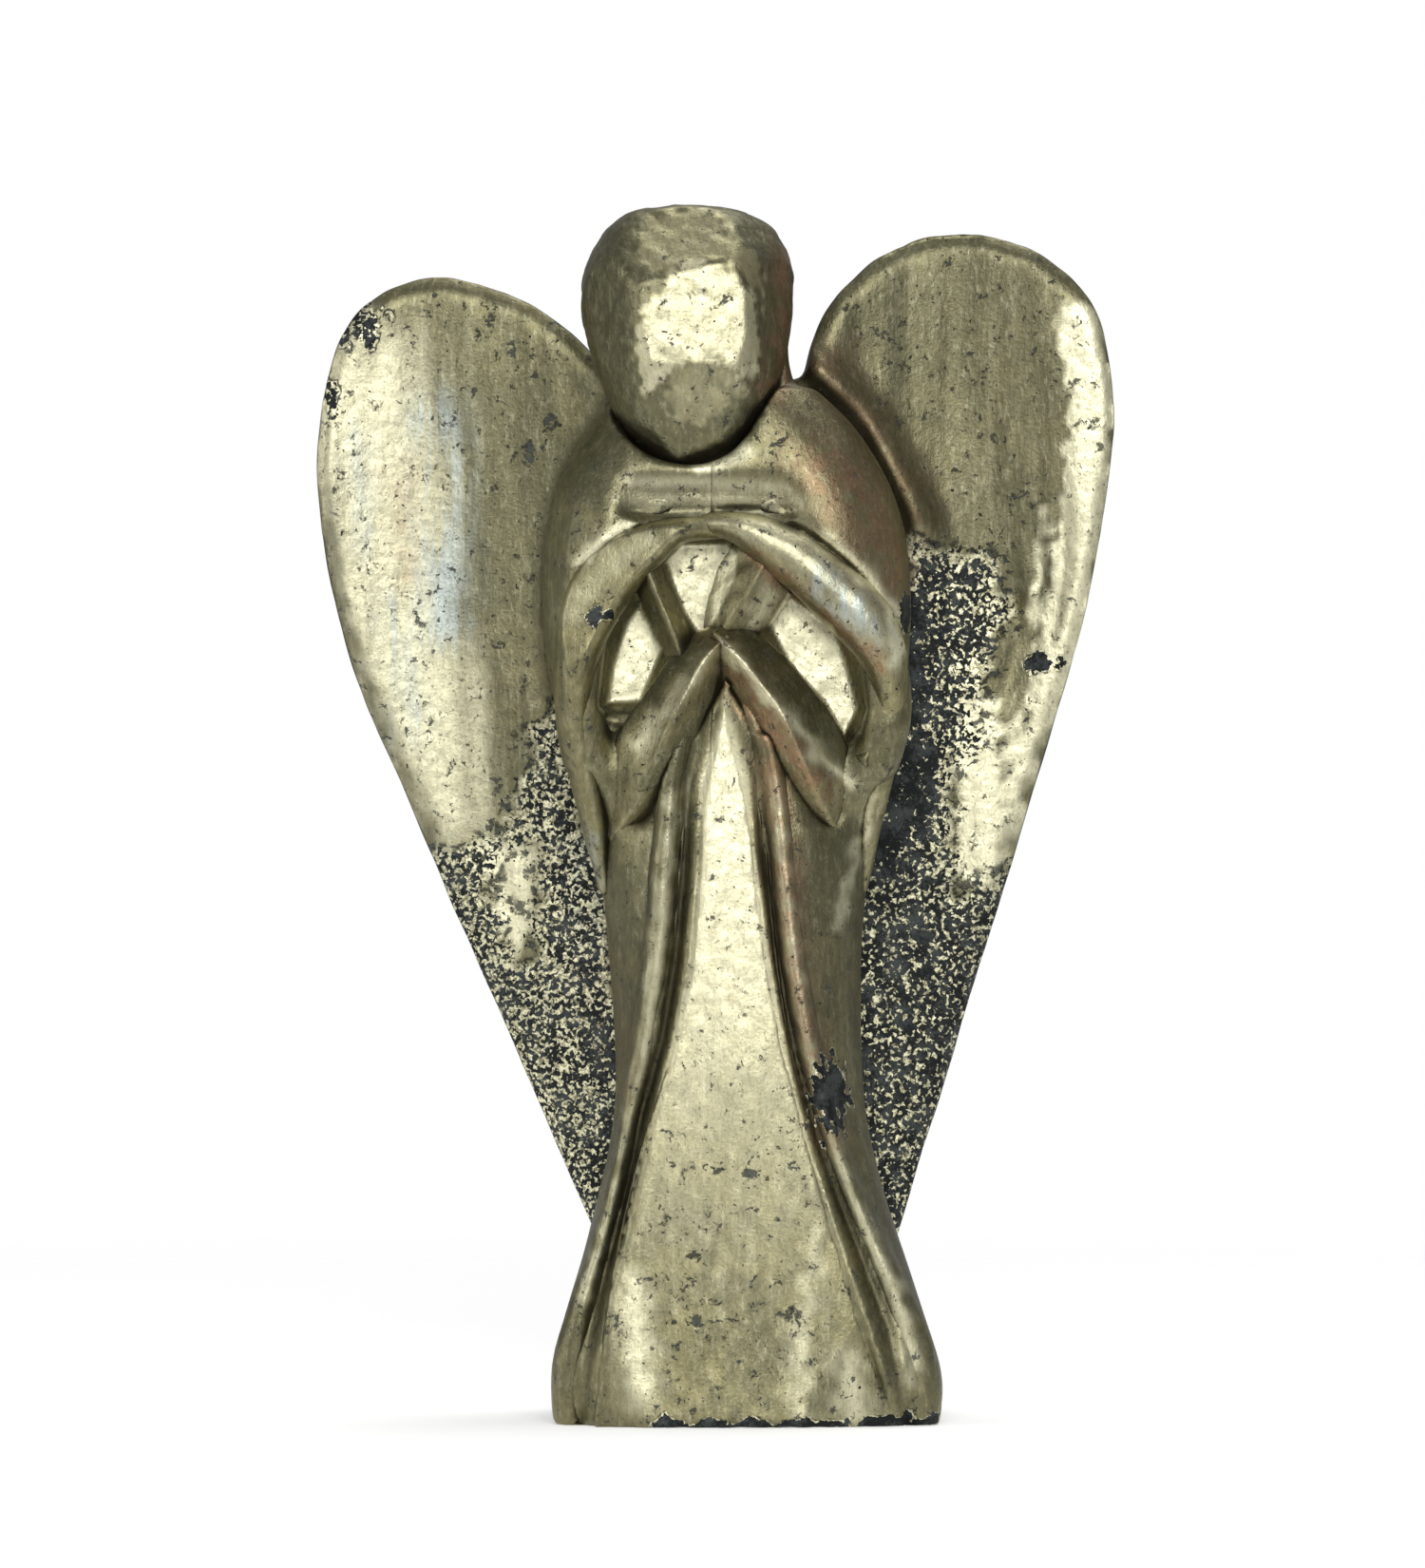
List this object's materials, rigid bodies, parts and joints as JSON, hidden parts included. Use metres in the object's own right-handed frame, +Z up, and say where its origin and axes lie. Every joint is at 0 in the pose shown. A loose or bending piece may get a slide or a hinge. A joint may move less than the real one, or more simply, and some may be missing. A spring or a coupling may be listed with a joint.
{
  "type": "angel figurine",
  "caption": "Free-standing faceless winged figurine carved from one block of polished metallic stone, with crossed arms, a long flared gown and two tall wings.",
  "frame": {"origin": "centre of the overall box, on the standing surface", "axes": "+Z up the figure, -Y out of its front, +X to the viewer's right when facing the front"},
  "size_m": [0.0506, 0.0188, 0.0762],
  "materials": {
    "polished_stone": "polished metallic sulphide stone, brassy, with dark hollows and small pits",
    "speckled_stone": "polished metallic sulphide stone with a granular black and brassy matrix"
  },
  "bodies": {
    "root": {"head": "polished_stone", "neck": "polished_stone", "neckline_band": "polished_stone", "bodice": "polished_stone", "left_mantle": "polished_stone", "right_mantle": "polished_stone", "left_sleeve": "polished_stone", "right_sleeve": "polished_stone", "left_forearm": "polished_stone", "right_forearm": "polished_stone", "left_hand": "polished_stone", "right_hand": "polished_stone", "front_panel": "polished_stone", "left_lapel": "polished_stone", "right_lapel": "polished_stone", "robe_back": "polished_stone", "left_wing": "speckled_stone", "right_wing": "speckled_stone"}
  },
  "joints": []
}
